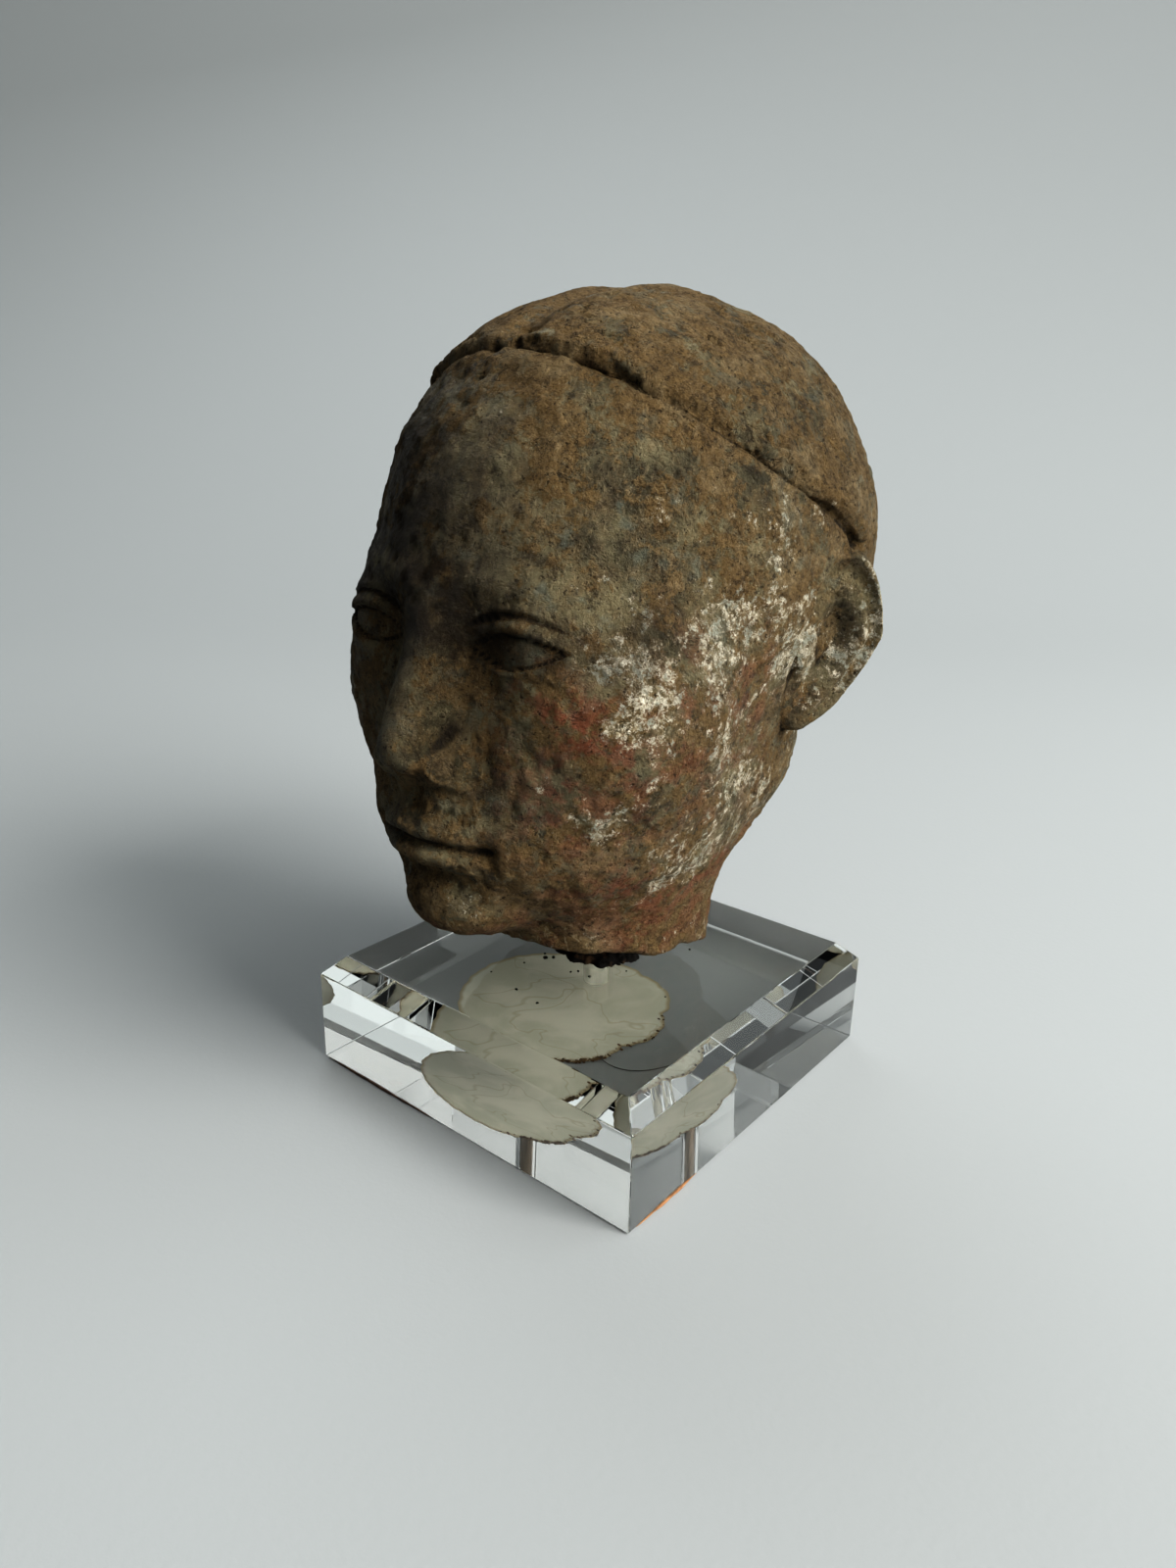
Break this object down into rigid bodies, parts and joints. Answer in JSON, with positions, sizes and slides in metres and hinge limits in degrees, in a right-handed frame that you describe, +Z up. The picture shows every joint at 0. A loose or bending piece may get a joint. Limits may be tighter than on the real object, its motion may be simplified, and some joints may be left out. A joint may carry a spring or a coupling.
{
  "type": "pottery head",
  "caption": "Weathered pottery head with centrally parted hair, broken at the neck, held by a metal rod above a bevelled clear block.",
  "frame": {"origin": "centre of the clear block's underside", "axes": "+Z up along the rod, -Y the way the face looks, +X to the head's own left ear"},
  "size_m": [0.0854, 0.1074, 0.1419],
  "materials": {
    "pottery": "rough grey clay under brown soil, with white slip and red traces",
    "clear_plastic": "polished and clear",
    "rod_metal": "drawn along its length",
    "dark_putty": "dull, crumbly and lumpy"
  },
  "bodies": {
    "root": {"pottery_head": "pottery", "clear_block": "clear_plastic", "mounting_rod": "rod_metal", "dark_wad": "dark_putty"}
  },
  "joints": []
}
